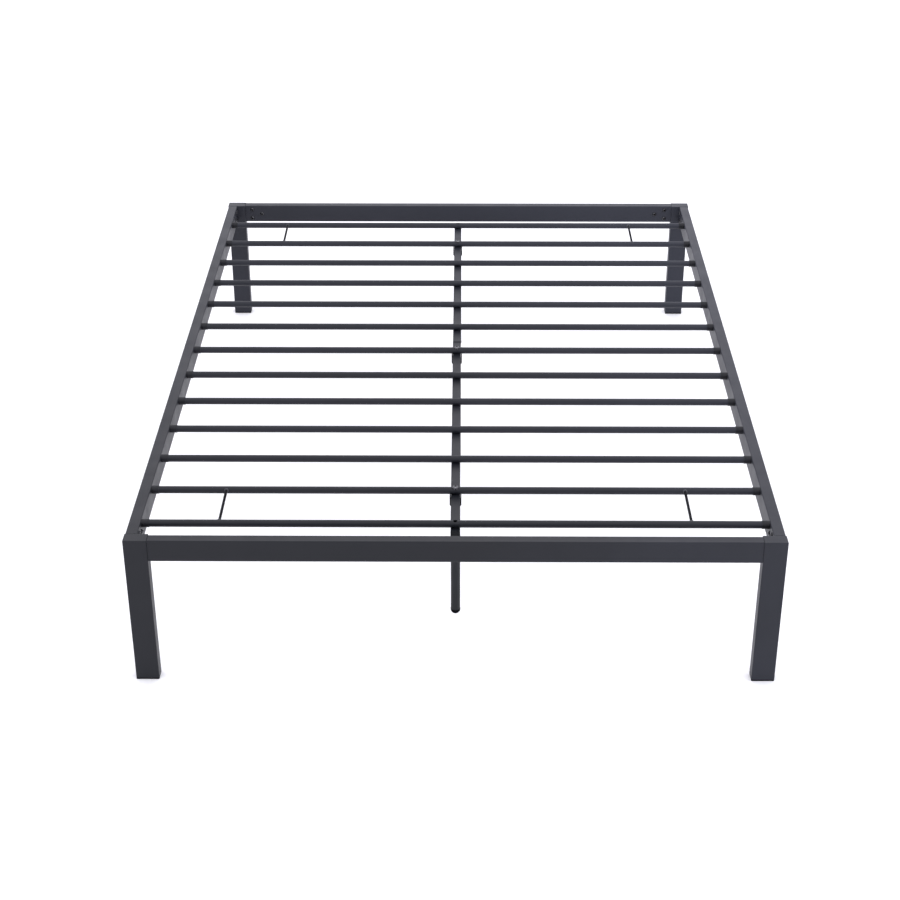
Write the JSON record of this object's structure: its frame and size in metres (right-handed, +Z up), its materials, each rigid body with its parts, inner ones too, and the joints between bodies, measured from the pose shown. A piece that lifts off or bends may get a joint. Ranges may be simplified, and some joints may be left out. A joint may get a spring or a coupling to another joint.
{
  "type": "metal bed frame",
  "caption": "Low platform bed frame: rectangular steel rails and corner legs, round cross slats, and a centre rail on bracketed round legs, all bolted together and painted charcoal.",
  "frame": {"origin": "on the floor, under the middle of the frame", "axes": "+Z up, +Y towards the head end, +X to the right as seen from the foot end"},
  "size_m": [1.373, 1.914, 0.3519],
  "materials": {
    "frame_coat": "satin charcoal powder coat",
    "black_plastic": "matt moulded black",
    "black_zinc": "black zinc plated steel"
  },
  "bodies": {
    "root": {"centre_leg_foot": "frame_coat", "centre_leg_head": "frame_coat", "centre_leg_middle": "frame_coat", "centre_plug_foot": "black_plastic", "centre_plug_head": "black_plastic", "centre_plug_middle": "black_plastic", "centre_rail_cap_foot": "black_plastic", "centre_rail_cap_head": "black_plastic", "centre_rail_foot": "frame_coat", "centre_rail_head": "frame_coat", "corner_bolts": "black_zinc", "end_slat_screws": "black_zinc", "foot_rail": "frame_coat", "head_rail": "frame_coat", "leg_cap_foot_left": "black_plastic", "leg_cap_foot_right": "black_plastic", "leg_cap_head_left": "black_plastic", "leg_cap_head_right": "black_plastic", "leg_foot_left": "frame_coat", "leg_foot_right": "frame_coat", "leg_head_left": "frame_coat", "leg_head_right": "frame_coat", "saddle_foot": "frame_coat", "saddle_head": "frame_coat", "saddle_middle": "frame_coat", "side_rail_left": "frame_coat", "side_rail_right": "frame_coat", "slat_01": "frame_coat", "slat_02": "frame_coat", "slat_03": "frame_coat", "slat_04": "frame_coat", "slat_05": "frame_coat", "slat_06": "frame_coat", "slat_07": "frame_coat", "slat_08": "frame_coat", "slat_09": "frame_coat", "slat_10": "frame_coat", "slat_11": "frame_coat", "slat_12": "frame_coat", "slat_13": "frame_coat", "slat_bolt_nuts": "black_zinc", "slat_bolts": "black_zinc", "slat_sleeves_left": "black_plastic", "slat_sleeves_right": "black_plastic", "slat_washers": "black_zinc", "spacer_rod_foot_left": "frame_coat", "spacer_rod_foot_right": "frame_coat", "spacer_rod_head_left": "frame_coat", "spacer_rod_head_right": "frame_coat", "stubs_foot_left": "frame_coat", "stubs_foot_right": "frame_coat", "stubs_head_left": "frame_coat", "stubs_head_right": "frame_coat", "weld_nuts": "black_zinc"}
  },
  "joints": []
}
